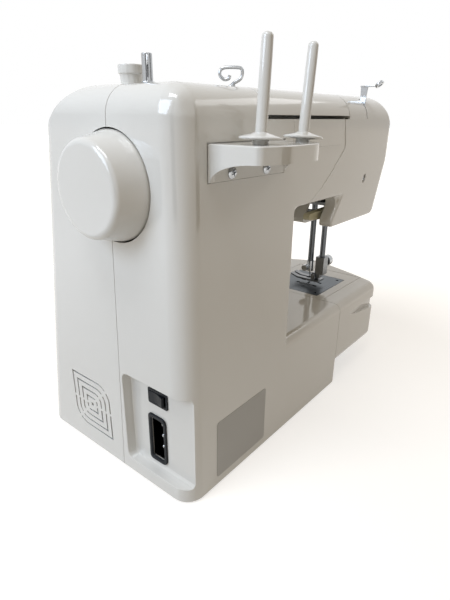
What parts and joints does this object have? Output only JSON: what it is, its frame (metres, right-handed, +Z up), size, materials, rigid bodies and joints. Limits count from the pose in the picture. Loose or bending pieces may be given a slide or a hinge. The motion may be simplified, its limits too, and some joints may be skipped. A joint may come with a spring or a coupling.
{
  "type": "sewing machine",
  "caption": "Compact domestic free-arm sewing machine with handwheel, carry handle, spool shelf, bobbin winder and removable extension table.",
  "frame": {"origin": "middle of the whole part in plan, on the surface that its feet stand on", "axes": "+X along the arm towards the handwheel, +Y towards the back where the spools stand, +Z up"},
  "size_m": [0.3794, 0.2268, 0.3139],
  "materials": {
    "ivory_plastic": "gloss",
    "black_plastic": "satin",
    "cream_plastic": "gloss",
    "polished_steel": "polished",
    "dark_steel": "satin",
    "plain_steel": "brushed",
    "blue_steel": "brushed",
    "cast_alloy": "cast",
    "bronze": "sintered",
    "black_rubber": "matte",
    "lamp_glass": "clear",
    "bobbin_plastic": "gloss",
    "silver_foil": "satin"
  },
  "bodies": {
    "housing": {"front_cover": "ivory_plastic", "rear_cover": "ivory_plastic", "base_plate": "dark_steel", "rubber_feet": "black_rubber", "back_screws": "polished_steel", "frame": "cast_alloy", "free_arm_cover": "ivory_plastic", "needle_plate": "blue_steel", "hook_bracket": "cast_alloy", "hook_race": "plain_steel", "bobbin_case": "plain_steel", "shaft_bushings": "bronze", "needle_bar_frame": "cast_alloy", "thread_cutter": "polished_steel", "lamp": "lamp_glass", "lower_bushings": "bronze", "timing_belt": "black_rubber", "motor": "black_plastic", "motor_belt": "black_rubber", "winder_stop": "ivory_plastic", "wire_guide": "polished_steel", "head_guide": "polished_steel", "spool_shelf": "ivory_plastic", "spool_pin_right": "ivory_plastic", "spool_pin_left": "ivory_plastic", "spool_discs": "ivory_plastic", "switch_frame": "black_plastic", "inlet_socket": "black_plastic", "inlet_pins": "polished_steel", "rating_label": "silver_foil"},
    "main_shaft": {"main_shaft": "plain_steel", "handwheel": "ivory_plastic", "driven_pulley": "dark_steel", "crank_disc": "dark_steel"},
    "needle_link": {"needle_link": "plain_steel"},
    "take_up_lever": {"take_up_lever": "polished_steel"},
    "needle_bar": {"needle_bar": "dark_steel", "needle_clamp": "polished_steel", "needle": "polished_steel"},
    "presser_bar": {"presser_bar": "dark_steel", "presser_spring": "plain_steel", "foot_holder": "plain_steel", "foot_screw": "polished_steel"},
    "foot_sole": {"foot_sole": "plain_steel"},
    "presser_lifter": {"presser_lifter": "cream_plastic"},
    "lower_shaft": {"lower_shaft": "plain_steel"},
    "shuttle_hook": {"shuttle_hook": "polished_steel"},
    "bobbin": {"bobbin": "bobbin_plastic"},
    "feed_dog": {"feed_dog": "plain_steel"},
    "motor_rotor": {"motor_rotor": "plain_steel"},
    "selector_dial": {"selector_dial": "ivory_plastic"},
    "length_dial": {"length_dial": "ivory_plastic"},
    "tension_dial": {"tension_dial": "ivory_plastic"},
    "reverse_lever": {"reverse_lever": "ivory_plastic"},
    "winder_carriage": {"winder_carriage": "dark_steel"},
    "winder_spindle": {"winder_spindle": "polished_steel"},
    "carry_handle": {"carry_handle": "ivory_plastic"},
    "switch_rocker": {"switch_rocker": "black_plastic"},
    "shuttle_cover": {"shuttle_cover": "ivory_plastic"},
    "extension_table": {"extension_table": "ivory_plastic"}
  },
  "joints": [
    {"name": "main_shaft_spin", "type": "hinge", "parent": "housing", "child": "main_shaft", "pos_m": [0.04868, 0.01038, 0.23], "axis": [1, 0, 0], "continuous": true},
    {"name": "needle_link_swing", "type": "hinge", "parent": "main_shaft", "child": "needle_link", "pos_m": [-0.08782, 0.01038, 0.215], "axis": [1, 0, 0], "continuous": true},
    {"name": "take_up_swing", "type": "hinge", "parent": "housing", "child": "take_up_lever", "pos_m": [-0.09582, -0.02962, 0.224], "axis": [1, 0, 0], "range_deg": [-16, 14]},
    {"name": "needle_bar_slide", "type": "slide", "parent": "housing", "child": "needle_bar", "axis": [0, 0, 1], "range_m": [0, 0.03]},
    {"name": "presser_lifter_turn", "type": "hinge", "parent": "housing", "child": "presser_lifter", "pos_m": [-0.08732, 0.04538, 0.191], "axis": [0, 1, 0], "range_deg": [-5, 50]},
    {"name": "presser_bar_slide", "type": "slide", "parent": "housing", "child": "presser_bar", "axis": [0, 0, 1], "range_m": [-0.003, 0.0015], "deforming": ["presser_spring"]},
    {"name": "foot_tilt", "type": "hinge", "parent": "presser_bar", "child": "foot_sole", "pos_m": [-0.09932, 0.01738, 0.104], "axis": [1, 0, 0], "range_deg": [-4, 4]},
    {"name": "lower_shaft_spin", "type": "hinge", "parent": "housing", "child": "lower_shaft", "pos_m": [-0.01132, 0.02638, 0.062], "axis": [1, 0, 0], "continuous": true},
    {"name": "hook_spin", "type": "hinge", "parent": "housing", "child": "shuttle_hook", "pos_m": [-0.09932, 0.00038, 0.062], "axis": [0, 1, 0], "continuous": true},
    {"name": "bobbin_spin", "type": "hinge", "parent": "housing", "child": "bobbin", "pos_m": [-0.09932, -0.00562, 0.062], "axis": [0, 1, 0], "continuous": true},
    {"name": "feed_dog_slide", "type": "slide", "parent": "housing", "child": "feed_dog", "axis": [0, 1, 0], "range_m": [-0.0025, 0.0025]},
    {"name": "motor_spin", "type": "hinge", "parent": "housing", "child": "motor_rotor", "pos_m": [0.10868, -0.04162, 0.048], "axis": [1, 0, 0], "continuous": true},
    {"name": "selector_turn", "type": "hinge", "parent": "housing", "child": "selector_dial", "pos_m": [0.10668, -0.08736, 0.152], "axis": [0, -0.9843, 0.1765], "range_deg": [-150, 150]},
    {"name": "length_turn", "type": "hinge", "parent": "housing", "child": "length_dial", "pos_m": [0.10668, -0.0766, 0.212], "axis": [0, -0.9843, 0.1765], "range_deg": [-140, 140]},
    {"name": "tension_turn", "type": "hinge", "parent": "housing", "child": "tension_dial", "pos_m": [-0.05332, -0.07015, 0.248], "axis": [0, -0.9843, 0.1765], "range_deg": [-160, 160]},
    {"name": "reverse_press", "type": "hinge", "parent": "housing", "child": "reverse_lever", "pos_m": [0.10668, -0.08075, 0.10953], "axis": [1, 0, 0], "range_deg": [0, 12], "stiffness_Nm_per_rad": 0.3},
    {"name": "winder_engage", "type": "slide", "parent": "housing", "child": "winder_carriage", "axis": [0, -1, 0], "range_m": [0, 0.0025]},
    {"name": "winder_spin", "type": "hinge", "parent": "winder_carriage", "child": "winder_spindle", "pos_m": [0.14068, 0.01738, 0.29], "axis": [0, 0, 1], "continuous": true},
    {"name": "carry_handle_lift", "type": "hinge", "parent": "housing", "child": "carry_handle", "pos_m": [0.02568, 0.03538, 0.287], "axis": [1, 0, 0], "range_deg": [0, 95]},
    {"name": "switch_rock", "type": "hinge", "parent": "housing", "child": "switch_rocker", "pos_m": [0.15668, 0.03238, 0.0775], "axis": [0, 0, 1], "range_deg": [0, 14]},
    {"name": "shuttle_cover_open", "type": "hinge", "parent": "housing", "child": "shuttle_cover", "pos_m": [-0.09932, -0.03262, 0.037], "axis": [1, 0, 0], "range_deg": [0, 85]},
    {"name": "extension_table_pull", "type": "slide", "parent": "housing", "child": "extension_table", "axis": [-1, 0, 0], "range_m": [0, 0.11]}
  ],
  "couplings": [
    {"joint": "needle_link_swing", "follows": "main_shaft_spin", "ratio": -1},
    {"joint": "lower_shaft_spin", "follows": "main_shaft_spin", "ratio": 1},
    {"joint": "hook_spin", "follows": "main_shaft_spin", "ratio": 2},
    {"joint": "motor_spin", "follows": "main_shaft_spin", "ratio": 4},
    {"joint": "presser_bar_slide", "follows": "presser_lifter_turn", "m_per_rad": -0.0034}
  ]
}
